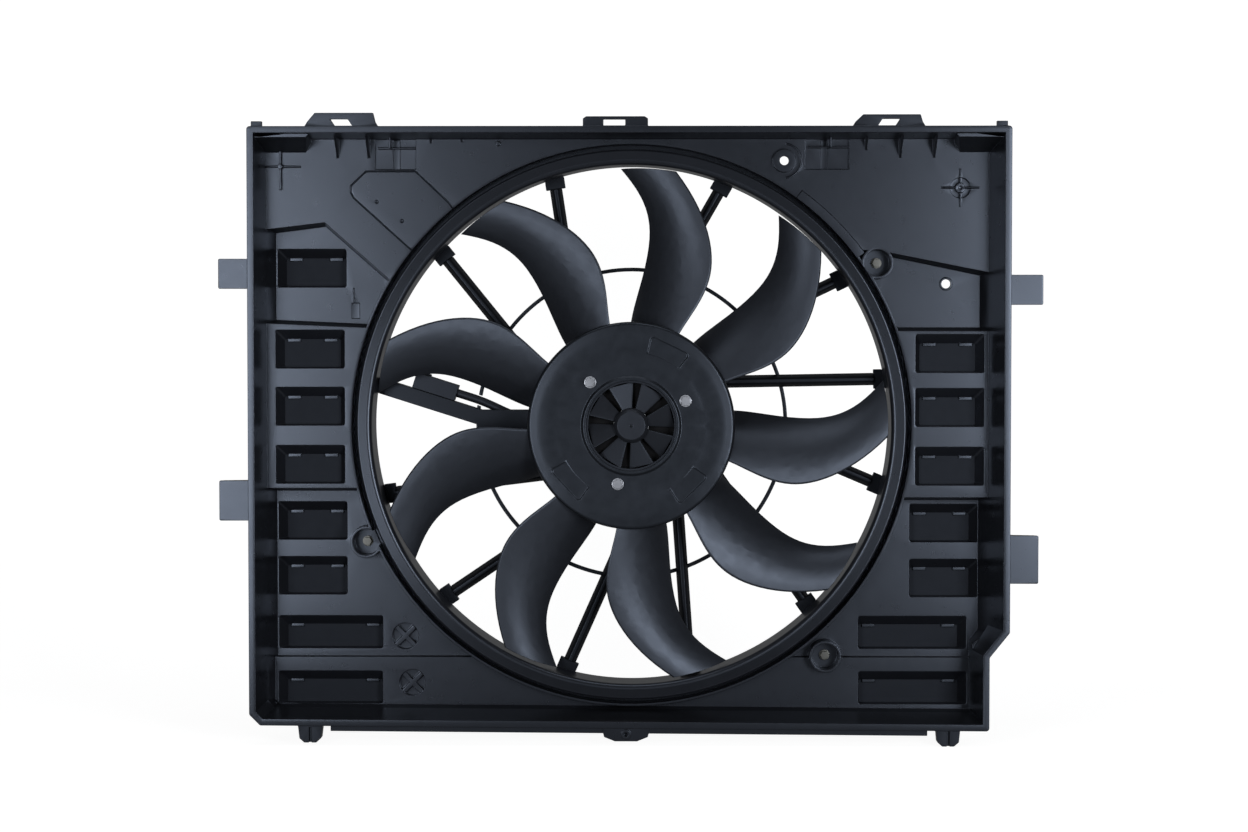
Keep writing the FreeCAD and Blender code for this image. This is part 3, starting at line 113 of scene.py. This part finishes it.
# %% [markdown]
# ## Materials
# Nearly everything on this object is black plastic, so the finishes differ in gloss, in grain
# and in the marks that moulding leaves. Effects that several finishes share are node groups:
# a fine moulded grain, long flow streaks, and a thin film of dust.

# %% Node helpers
def group_tree(name, inputs, outputs):
    """A shader node group with float or colour sockets."""
    tree = bpy.data.node_groups.new(name, "ShaderNodeTree")
    for socket, kind, value in inputs:
        made = tree.interface.new_socket(name=socket, in_out="INPUT", socket_type=kind)
        made.default_value = value
    for socket, kind in outputs:
        tree.interface.new_socket(name=socket, in_out="OUTPUT", socket_type=kind)
    entry = tree.nodes.new("NodeGroupInput")
    leave = tree.nodes.new("NodeGroupOutput")
    return tree, entry, leave


def math_node(tree, operation, first, second):
    """A math node whose two inputs are sockets or plain numbers."""
    node = tree.nodes.new("ShaderNodeMath")
    node.operation = operation
    for index, value in enumerate((first, second)):
        if isinstance(value, (int, float)):
            node.inputs[index].default_value = value
        else:
            tree.links.new(value, node.inputs[index])
    return node.outputs[0]


def noise_node(tree, vector, scale, detail, roughness=0.55):
    """A noise texture whose scale is a socket or a plain number."""
    node = tree.nodes.new("ShaderNodeTexNoise")
    node.inputs["Detail"].default_value = detail
    node.inputs["Roughness"].default_value = roughness
    tree.links.new(vector, node.inputs["Vector"])
    if isinstance(scale, (int, float)):
        node.inputs["Scale"].default_value = scale
    else:
        tree.links.new(scale, node.inputs["Scale"])
    return node.outputs["Fac"]


# %% Grain, streaks and dust as node groups
fine_weight = 0.7
coarse_weight = 0.3
coarse_ratio = 0.12
flow_angle = math.radians(28)
flow_stretch = (5.0, 1.6, 1.0)
speck_scale = 650.0
dust_on_sides = 0.35
dust_on_tops = 0.65


def make_grain_group():
    """A fine leather-like grain: Height for a bump, and Mottle for gloss."""
    tree, entry, leave = group_tree(
        "moulded_grain",
        [("Scale", "NodeSocketFloat", 900.0), ("Depth", "NodeSocketFloat", 1.0)],
        [("Height", "NodeSocketFloat"), ("Mottle", "NodeSocketFloat")])
    place = tree.nodes.new("ShaderNodeTexCoord").outputs["Object"]
    fine = noise_node(tree, place, entry.outputs["Scale"], 2.0)
    coarse_scale = math_node(tree, "MULTIPLY", entry.outputs["Scale"], coarse_ratio)
    coarse = noise_node(tree, place, coarse_scale, 3.0)
    fine_share = math_node(tree, "MULTIPLY", fine, fine_weight)
    coarse_share = math_node(tree, "MULTIPLY", coarse, coarse_weight)
    mixed = math_node(tree, "ADD", fine_share, coarse_share)
    tree.links.new(math_node(tree, "MULTIPLY", mixed, entry.outputs["Depth"]), leave.inputs["Height"])
    tree.links.new(coarse, leave.inputs["Mottle"])
    return tree


def make_streak_group():
    """Long faint streaks where the filled plastic flowed through the mould."""
    tree, entry, leave = group_tree(
        "flow_streaks",
        [("Length", "NodeSocketFloat", 6.0), ("Contrast", "NodeSocketFloat", 1.0)],
        [("Streak", "NodeSocketFloat")])
    place = tree.nodes.new("ShaderNodeTexCoord").outputs["Object"]
    stretch = tree.nodes.new("ShaderNodeMapping")
    stretch.inputs["Rotation"].default_value = (0.0, flow_angle, 0.0)
    stretch.inputs["Scale"].default_value = flow_stretch
    tree.links.new(place, stretch.inputs["Vector"])
    wide = noise_node(tree, stretch.outputs["Vector"], entry.outputs["Length"], 4.0, 0.6)
    centred = math_node(tree, "SUBTRACT", wide, 0.5)
    streak = math_node(tree, "MULTIPLY", centred, entry.outputs["Contrast"])
    tree.links.new(streak, leave.inputs["Streak"])
    return tree


def make_dust_group():
    """A mask for dust: patchy, and thicker on faces that look up."""
    tree, entry, leave = group_tree(
        "dust_film",
        [("Amount", "NodeSocketFloat", 0.1), ("Patch Scale", "NodeSocketFloat", 14.0)],
        [("Mask", "NodeSocketFloat")])
    place = tree.nodes.new("ShaderNodeTexCoord").outputs["Object"]
    patch = noise_node(tree, place, entry.outputs["Patch Scale"], 6.0, 0.65)
    speck = noise_node(tree, place, speck_scale, 2.0)
    facing = tree.nodes.new("ShaderNodeSeparateXYZ")
    tree.links.new(tree.nodes.new("ShaderNodeNewGeometry").outputs["Normal"], facing.inputs[0])
    upward = math_node(tree, "MAXIMUM", facing.outputs["Z"], 0.0)
    settled = math_node(tree, "ADD", dust_on_sides, math_node(tree, "MULTIPLY", upward, dust_on_tops))
    mixed = math_node(tree, "MULTIPLY", math_node(tree, "MULTIPLY", patch, speck), settled)
    tree.links.new(math_node(tree, "MULTIPLY", mixed, entry.outputs["Amount"]), leave.inputs["Mask"])
    return tree


grain_group = make_grain_group()
streak_group = make_streak_group()
dust_group = make_dust_group()
print("node groups", [tree.name for tree in (grain_group, streak_group, dust_group)])

# %% [markdown]
# One function builds every opaque finish. The colour is darkened and lightened by the streaks,
# the dust lifts it towards grey, and the grain goes to the bump. Numbers that are the same all
# over the surface are set on the shader itself.

# %% The finish builder
dust_colour = (0.16, 0.155, 0.15, 1.0)
dust_dulling = 0.6
coat_roughness = 0.2
grain_height = 0.05 * MM


def finish(name, colour, roughness, metallic=0.0, grain_scale=900.0, grain_depth=0.15, streak=0.25,
           gloss_swing=0.12, dust=0.15, coat=0.0, specular=0.5, tint=(1.0, 1.0, 1.0)):
    """A material with one shader, whose colour, roughness and bump come from the three groups."""
    material = bpy.data.materials.new(name)
    material.use_nodes = True
    tree = material.node_tree
    shader = tree.nodes["Principled BSDF"]
    shader.inputs["Metallic"].default_value = metallic
    shader.inputs["Specular IOR Level"].default_value = specular
    shader.inputs["Specular Tint"].default_value = (*tint, 1.0)
    shader.inputs["Coat Weight"].default_value = coat
    shader.inputs["Coat Roughness"].default_value = coat_roughness

    def group(which, values):
        """One of the shared node groups, with its values."""
        node = tree.nodes.new("ShaderNodeGroup")
        node.node_tree = which
        for socket, value in values.items():
            node.inputs[socket].default_value = value
        return node

    grain = group(grain_group, {"Scale": grain_scale, "Depth": 1.0})
    flow = group(streak_group, {"Length": 6.0, "Contrast": 1.0})
    film = group(dust_group, {"Amount": dust, "Patch Scale": 14.0})

    lighten = math_node(tree, "ADD", 1.0, math_node(tree, "MULTIPLY", flow.outputs["Streak"], streak * 2))
    shade = tree.nodes.new("ShaderNodeMix")
    shade.data_type = "RGBA"
    shade.blend_type = "MULTIPLY"
    shade.inputs["Factor"].default_value = 1.0
    shade.inputs["A"].default_value = (*colour, 1.0)
    tree.links.new(lighten, shade.inputs["B"])
    dusted = tree.nodes.new("ShaderNodeMix")
    dusted.data_type = "RGBA"
    dusted.inputs["B"].default_value = dust_colour
    tree.links.new(film.outputs["Mask"], dusted.inputs["Factor"])
    tree.links.new(shade.outputs["Result"], dusted.inputs["A"])
    tree.links.new(dusted.outputs["Result"], shader.inputs["Base Color"])

    mottle = math_node(tree, "SUBTRACT", grain.outputs["Mottle"], 0.5)
    swing = math_node(tree, "MULTIPLY", mottle, gloss_swing)
    dull = math_node(tree, "MULTIPLY", film.outputs["Mask"], dust_dulling)
    rough = math_node(tree, "ADD", math_node(tree, "ADD", swing, dull), roughness)
    tree.links.new(rough, shader.inputs["Roughness"])

    bump = tree.nodes.new("ShaderNodeBump")
    bump.inputs["Strength"].default_value = grain_depth
    bump.inputs["Distance"].default_value = grain_height
    tree.links.new(grain.outputs["Height"], bump.inputs["Height"])
    tree.links.new(bump.outputs["Normal"], shader.inputs["Normal"])
    return material


# %% [markdown]
# The finishes themselves. The shroud and the carrier's ring are glass-filled plastic with a satin
# surface, and the blades are matt. The blades' colour is lifted a little, which paints in the broad
# soft light on them, and the hub and the carrier's struts are darker copies of the same plastic,
# which is painted shade. The flaps are soft rubber with hardly any gloss. The wheel's screws are
# zinc plated, which is the only bright metal that shows from the front. Black plastic has almost
# no colour of its own, so its blue cast comes from the tint of its reflections.

# %% The finishes
cool = (0.70, 0.80, 1.0)
finishes = {
    "shroud_plastic": finish("satin_filled_plastic", (0.0065, 0.0070, 0.0090), 0.28, grain_depth=0.10,
                             streak=0.3, gloss_swing=0.05, dust=0.05, specular=0.60, tint=cool),
    # The blades' colour is lifted above the plastic's own, which paints in the broad soft light on them
    "fan_plastic": finish("matt_fan_plastic_painted_light", (0.010, 0.011, 0.014), 0.44, grain_depth=0.08,
                          streak=0.25, dust=0.04, specular=0.75, tint=cool),
    # A darker copy of the wheel's plastic for the hub: painted shade
    "hub_plastic_shaded": finish("satin_hub_plastic_painted_shade", (0.0065, 0.0075, 0.0095), 0.32, grain_depth=0.08,
                          streak=0.25, dust=0.04, specular=0.45, tint=cool),
    # A darker copy of the carrier's plastic for its struts, hoop, seat and cable strut: painted shade
    "carrier_plastic_shaded": finish("dull_carrier_plastic_painted_shade", (0.005, 0.0055, 0.007), 0.32, grain_depth=0.08,
                              streak=0.2, gloss_swing=0.05, dust=0.03, specular=0.25, tint=cool),
    "flap_rubber": finish("flap_rubber", (0.0095, 0.0105, 0.0135), 0.55, streak=0.1, dust=0.05,
                          specular=0.15, tint=cool),
    "screw_steel": finish("zinc_plate", (0.29, 0.30, 0.33), 0.36, metallic=1.0, streak=0.1, dust=0.1),
    "screw_black": finish("blackened_steel", (0.09, 0.09, 0.085), 0.38, metallic=1.0, streak=0.1,
                          dust=0.1),
    "rotor_metal": finish("coated_rotor", (0.011, 0.012, 0.015), 0.38, streak=0.1, dust=0.05,
                          specular=0.35, tint=cool),
    "magnet": finish("sintered_magnet", (0.05, 0.05, 0.055), 0.6, metallic=0.5),
    "shaft_steel": finish("ground_steel", (0.5, 0.5, 0.52), 0.25, metallic=1.0, dust=0.05),
    "bearing_steel": finish("bearing_steel", (0.6, 0.6, 0.62), 0.2, metallic=1.0, dust=0.05),
    "cast_aluminium": finish("die_cast_aluminium", (0.42, 0.43, 0.45), 0.45, metallic=1.0,
                             grain_scale=500.0, grain_depth=0.3),
    # The core and windings are darker than their varnish and enamel make them, which paints in the shade
    # inside the motor's slots
    "lamination": finish("varnished_steel_painted_shade", (0.05, 0.05, 0.055), 0.5, metallic=1.0, dust=0.03),
    "copper": finish("enamelled_copper_painted_shade", (0.16, 0.055, 0.022), 0.35, metallic=1.0, dust=0.03),
    "board": finish("circuit_board", (0.01, 0.06, 0.025), 0.35, coat=0.3),
    "board_can": finish("capacitor_sleeve", (0.02, 0.02, 0.03), 0.3),
    "rubber": finish("moulded_rubber", (0.012, 0.012, 0.013), 0.6),
    "lead_jacket": finish("lead_jacket", (0.008, 0.008, 0.010), 0.45, dust=0.05, specular=0.35,
                          tint=cool),
    "connector_plastic": finish("connector_plastic", (0.006, 0.006, 0.008), 0.40, dust=0.04,
                                specular=0.30, tint=cool),
    # The slot liners are near black, which paints in the shade inside the slots
    "insulator": finish("slot_insulator_painted_shade", (0.003, 0.003, 0.004), 0.6, streak=0.1, dust=0.01,
                        specular=0.1),
}
print("finishes", len(finishes))

# %% [markdown]
# ## Moulded edges
# A CAD node comes as loose triangles with knife edges, and a real moulding has a small radius
# on every edge that catches the light. Rounding could be faked in the shader, but the mesh itself
# would still have knife edges. So each node gets a working copy: its points are welded, and its sharp
# edges are bevelled by a few tenths of a millimetre.

# %% From a mesh to a piece of the model
slot_of = {row["node"]: row["material_slot"] for row in frame["record"]["subparts"]}
body_of = {name: body for body, names in frame["record"]["behaviour"]["bodies"].items()
           for name in names}
weld_distance = 0.002 * MM
# Some pieces are smoother or duller than the others of their slot, and darker: painted shade
shaded_copy_of = {"fan_hub_finished": "hub_plastic_shaded", "cable_strut_finished": "carrier_plastic_shaded",
              "carrier_struts_finished": "carrier_plastic_shaded", "carrier_hoop_finished": "carrier_plastic_shaded",
              "motor_seat_finished": "carrier_plastic_shaded"}


def add_object(name, mesh, body, material_slot, replaced):
    """Turns a bmesh into a piece of the model that rides on a body and stands for some nodes."""
    data = bpy.data.meshes.new(name)
    mesh.to_mesh(data)
    mesh.free()
    data.materials.append(finishes[shaded_copy_of.get(name, material_slot)])
    piece = bpy.data.objects.new(name, data)
    bpy.context.scene.collection.objects.link(piece)
    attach(piece, body)
    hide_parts(*replaced)
    return piece


def copy_of(node):
    """The node's triangles as a bmesh, with the points they share welded."""
    mesh = bmesh.new()
    mesh.from_mesh(nodes[node].data)
    bmesh.ops.remove_doubles(mesh, verts=mesh.verts, dist=weld_distance)
    return mesh


# These pieces carry painted shade in their darker copies of the plastic
print("pieces with a finish of their own", len(shaded_copy_of))

# %% [markdown]
# The carrier is one moulding and so is the wheel, though the CAD has them in simpler pieces. An
# edge on which two of them meet isn't an edge of the moulding, so it stays as it is. To find
# these edges, each closed piece becomes a search tree, and an edge is left out when both of its
# ends lie on other pieces.

# %% Where the pieces of a moulding meet
mouldings = [["fan_ring", "carrier_ears", "carrier_struts", "cable_strut", "carrier_hoop", "motor_seat"],
             ["fan_hub", "fan_blades"]]
joint_distance = 0.15 * MM
sharp_angle = math.radians(28)


def face_groups(mesh):
    """The faces of each closed piece in a mesh."""
    left = set(mesh.faces)
    groups = []
    while left:
        front = [left.pop()]
        group = []
        while front:
            face = front.pop()
            group.append(face)
            near = {other for edge in face.edges for other in edge.link_faces} & left
            left -= near
            front.extend(near)
        groups.append(group)
    return groups


def surface_of(faces):
    """A search tree over some faces of a mesh."""
    points = []
    corners = []
    for face in faces:
        corners.append(range(len(points), len(points) + len(face.verts)))
        points.extend(vert.co.copy() for vert in face.verts)
    return BVHTree.FromPolygons(points, corners)


def joined_surfaces(node):
    """The surfaces of the other nodes that are one moulding with this one."""
    surfaces = []
    for other in [other for group in mouldings if node in group for other in group if other != node]:
        mesh = copy_of(other)
        surfaces.append(BVHTree.FromBMesh(mesh))
        mesh.free()
    return surfaces


def touches(vert, surfaces):
    """Whether a point lies on any of the surfaces."""
    return any(other.find_nearest(vert.co, joint_distance)[0] is not None for other in surfaces)


def open_edges(mesh, joined):
    """The sharp edges that don't lie on another piece of the same moulding, in the mesh's order."""
    groups = face_groups(mesh)
    trees = [surface_of(group) for group in groups] if joined else []
    found = set()
    for index, group in enumerate(groups):
        others = joined + trees[:index] + trees[index + 1:] if joined else []
        for edge in {edge for face in group for edge in face.edges}:
            if len(edge.link_faces) == 2 and edge.calc_face_angle(0.0) > sharp_angle:
                if not all(touches(vert, others) for vert in edge.verts):
                    found.add(edge)
    return [edge for edge in mesh.edges if edge in found]


print("mouldings", [len(group) for group in mouldings])

# %% [markdown]
# The bevel runs over all the open edges at once. At a corner with very short edges it can throw
# a point out of the surface, so a point that lies further out than the rounding is wide goes
# back to the nearest place on the surface. The ring is left out here, because it is turned below.

# %% Rounding the edges
edge_segments = 2
shading_angle = math.radians(50)
stray_share = 1.5


def rounded(mesh, width, joined):
    """Rounds the open edges and puts stray points back on the surface."""
    surface = BVHTree.FromBMesh(mesh)
    bmesh.ops.bevel(mesh, geom=open_edges(mesh, joined), offset=width, offset_type="OFFSET",
                    segments=edge_segments, profile=0.5, affect="EDGES", clamp_overlap=False, material=-1)
    strays = 0
    for vert in mesh.verts:
        place, _, _, distance = surface.find_nearest(vert.co)
        if distance > stray_share * width:
            vert.co = place
            strays += 1
    for face in mesh.faces:
        face.smooth = True
    for edge in mesh.edges:
        edge.smooth = edge.calc_face_angle(0.0) < shading_angle
    return strays


def even_shading(piece):
    """Lets the broad faces decide the shading, so that only the rounded edges bend the light."""
    even = piece.modifiers.new("even_shading", "WEIGHTED_NORMAL")
    even.keep_sharp = True


def moulded(node, width):
    """A copy of a CAD node with rounded edges, which stands for the node."""
    mesh = copy_of(node)
    strays = rounded(mesh, width, joined_surfaces(node))
    if strays:
        print(node, "points put back on the surface", strays)
    even_shading(add_object(node + "_finished", mesh, body_of[node], slot_of[node], [node]))


# The width of each node's rounding in millimetres, and the width for the small pieces
edge_widths = {"shroud": 0.5, "carrier_ears": 0.5, "carrier_struts": 0.6, "cable_strut": 0.5,
               "carrier_hoop": 0.6, "motor_seat": 0.5, "fan_hub": 0.5, "fan_blades": 0.5,
               "motor_housing": 0.5, "rear_cover": 0.4, "rotor_bell": 0.4, "plug_housing": 0.4}
small_width = 0.2

copied = [node for node in nodes if node != "fan_ring"]
for node in copied:
    moulded(node, edge_widths.get(node, small_width) * MM)
print("finished copies", len(copied))

# %% [markdown]
# ## The ring
# The CAD holds the carrier's ring in thirty sectors, and rounding each of them would draw thirty
# seams that the moulding doesn't have. A ring is also the same all the way round. So it is
# turned in one go: its section is drawn as straight lines, each corner of the section is
# rounded, and the section is spun about the fan's axis. The wide front corner and the throat
# get the large radii that gather the light into the bright line round the wheel.

# %% The carrier's ring
# Each corner of the section in millimetres: distance from the axis, depth behind the front, rounding
ring_section = [(242.5, 36.6, 4.9), (242.5, 82.0, 0.6), (245.5, 82.0, 0.6), (245.5, 68.0, 0.4),
                (266.0, 68.0, 0.2), (266.0, 65.0, 0.2), (245.5, 65.0, 0.4), (245.5, 44.6, 0.6),
                (253.5, 44.6, 0.6), (253.5, 49.6, 0.6), (256.5, 49.6, 0.6), (256.5, 33.0, 1.95),
                (254.5, 33.0, 0.0), (247.5, 36.6, 0.0)]
ring_steps = 360
corner_segments = 6


def spun(section, steps):
    """A body of revolution about the Y axis, from a closed section with rounded corners."""
    mesh = bmesh.new()
    corners = [mesh.verts.new((radius * MM, depth * MM, 0.0)) for radius, depth, _ in section]
    for first, second in zip(corners, corners[1:] + corners[:1]):
        mesh.edges.new((first, second))
    for corner, (_, _, rounding) in zip(corners, section):
        if rounding:
            bmesh.ops.bevel(mesh, geom=[corner], offset=rounding * MM, offset_type="OFFSET",
                            segments=corner_segments, profile=0.5, affect="VERTICES", material=-1)
    bmesh.ops.spin(mesh, geom=mesh.verts[:] + mesh.edges[:], cent=(0, 0, 0), axis=(0, 1, 0),
                   angle=math.tau, steps=steps, use_merge=True)
    bmesh.ops.recalc_face_normals(mesh, faces=mesh.faces)
    for face in mesh.faces:
        face.smooth = True
    return mesh


ring = add_object("fan_ring_turned", spun(ring_section, ring_steps), body_of["fan_ring"],
                  slot_of["fan_ring"], ["fan_ring"])
even_shading(ring)
print("ring faces", len(ring.data.polygons))

# %% [markdown]
# ## Light and camera
# The plate shines by its left and right walls and is nearly black in the middle. So the studio
# had two tall soft boxes beside the camera, the left one nearer to it, in a dark room. The
# same boxes light the rest: seen from any point of the model, they are what a smooth surface
# mirrors. A weak wing beside each box softens its fall-off, the left one high up, where the
# photograph's plate stays light, and a box above fills the top faces. The lamps are hidden
# from the camera itself.

# %% Lamps
lamp_colour = (0.95, 0.975, 1.0)


def soft_box(name, place, target, width, height, power):
    """A rectangular lamp in metres and watts that looks at a point."""
    data = bpy.data.lights.new(name, "AREA")
    data.shape = "RECTANGLE"
    data.size = width
    data.size_y = height
    data.energy = power
    data.color = lamp_colour
    lamp = bpy.data.objects.new(name, data)
    bpy.context.scene.collection.objects.link(lamp)
    lamp.location = place
    lamp.rotation_euler = (Vector(target) - Vector(place)).to_track_quat("-Z", "Y").to_euler()
    lamp.visible_camera = False
    return lamp


lamps = [soft_box("left_box", (-0.78, -1.6, -0.04), (0, 0, -0.02), 0.5, 0.85, 11.0),
         soft_box("left_wing", (-0.56, -1.7, 0.42), (0, 0, 0.1), 0.60, 0.6, 1.6),
         soft_box("right_box", (0.90, -1.6, 0.05), (0, 0, 0.0), 0.5, 0.8, 18.0),
         soft_box("right_wing", (0.78, -1.7, 0.1), (0, 0, 0.0), 0.72, 1.0, 0.4),
         soft_box("top_box", (0.0, -0.5, 1.7), (0, 0, 0), 1.4, 0.5, 6)]
print("lamps", [lamp.name for lamp in lamps])

# %% [markdown]
# The room is white for the camera and dark for everything else, so that the background doesn't
# wash out the black plastic. The sheet does the same. A reflection sees it too, but dimly,
# because a full white would fill the barrel, which mirrors it at a flat angle. The sheet's
# plain colour is left to the lamps, and there the object's shadow falls.

# %% World and backdrop light
room_strength = 0.03
reflected_share = 0.12
paper_grey = (0.3, 0.3, 0.3, 1.0)
paper_white = (0.93, 0.93, 0.93, 1.0)


def camera_white(tree, strength_socket, dim, rays):
    """A strength for each kind of ray that sees the surface, and a dim strength for all other light."""
    path = tree.nodes.new("ShaderNodeLightPath")
    strength = dim
    for ray, share in rays.items():
        seen = math_node(tree, "MULTIPLY", path.outputs[ray], share)
        strength = math_node(tree, "MAXIMUM", seen, strength)
    tree.links.new(strength, strength_socket)


world = bpy.data.worlds.new("studio")
bpy.context.scene.world = world
world.use_nodes = True
room = world.node_tree.nodes["Background"]
room.inputs["Color"].default_value = (1.0, 1.0, 1.0, 1.0)
camera_white(world.node_tree, room.inputs["Strength"], room_strength, {"Is Camera Ray": 1.0})


def white_sheet():
    """White paper: it shines where the camera or a reflection sees it, and isn't there from behind."""
    material = bpy.data.materials.new("white_paper")
    material.use_nodes = True
    tree = material.node_tree
    shader = tree.nodes["Principled BSDF"]
    shader.inputs["Base Color"].default_value = paper_grey
    shader.inputs["Roughness"].default_value = 0.9
    shader.inputs["Specular IOR Level"].default_value = 0.0
    shader.inputs["Emission Color"].default_value = paper_white
    rays = {"Is Camera Ray": 1.0, "Is Glossy Ray": reflected_share, "Is Transmission Ray": 1.0}
    camera_white(tree, shader.inputs["Emission Strength"], 0.0, rays)
    clear = tree.nodes.new("ShaderNodeBsdfTransparent")
    sides = tree.nodes.new("ShaderNodeMixShader")
    tree.links.new(tree.nodes.new("ShaderNodeNewGeometry").outputs["Backfacing"], sides.inputs["Fac"])
    tree.links.new(shader.outputs["BSDF"], sides.inputs[1])
    tree.links.new(clear.outputs["BSDF"], sides.inputs[2])
    tree.links.new(sides.outputs["Shader"], tree.nodes["Material Output"].inputs["Surface"])
    return material


backdrop.data.materials.append(white_sheet())
print("backdrop material", backdrop.data.materials[0].name)

# %% [markdown]
# The camera looks almost straight at the front, from a little right of the middle and above it,
# which is where the sides of the windows and of the tray show as they do in the photograph.

# %% Camera
camera_data = bpy.data.cameras.new("camera")
camera_data.sensor_width = 36.0
camera_data.lens = 78.5
camera = bpy.data.objects.new("camera", camera_data)
bpy.context.scene.collection.objects.link(camera)
camera.location = (0.020, -2.5, 0.100)
aim = Vector((-0.0064, 0.0, 0.010))
camera.rotation_euler = (aim - camera.location).to_track_quat("-Z", "Y").to_euler()
bpy.context.scene.camera = camera
bpy.context.scene.view_settings.view_transform = "Standard"
print("camera at", tuple(camera.location))
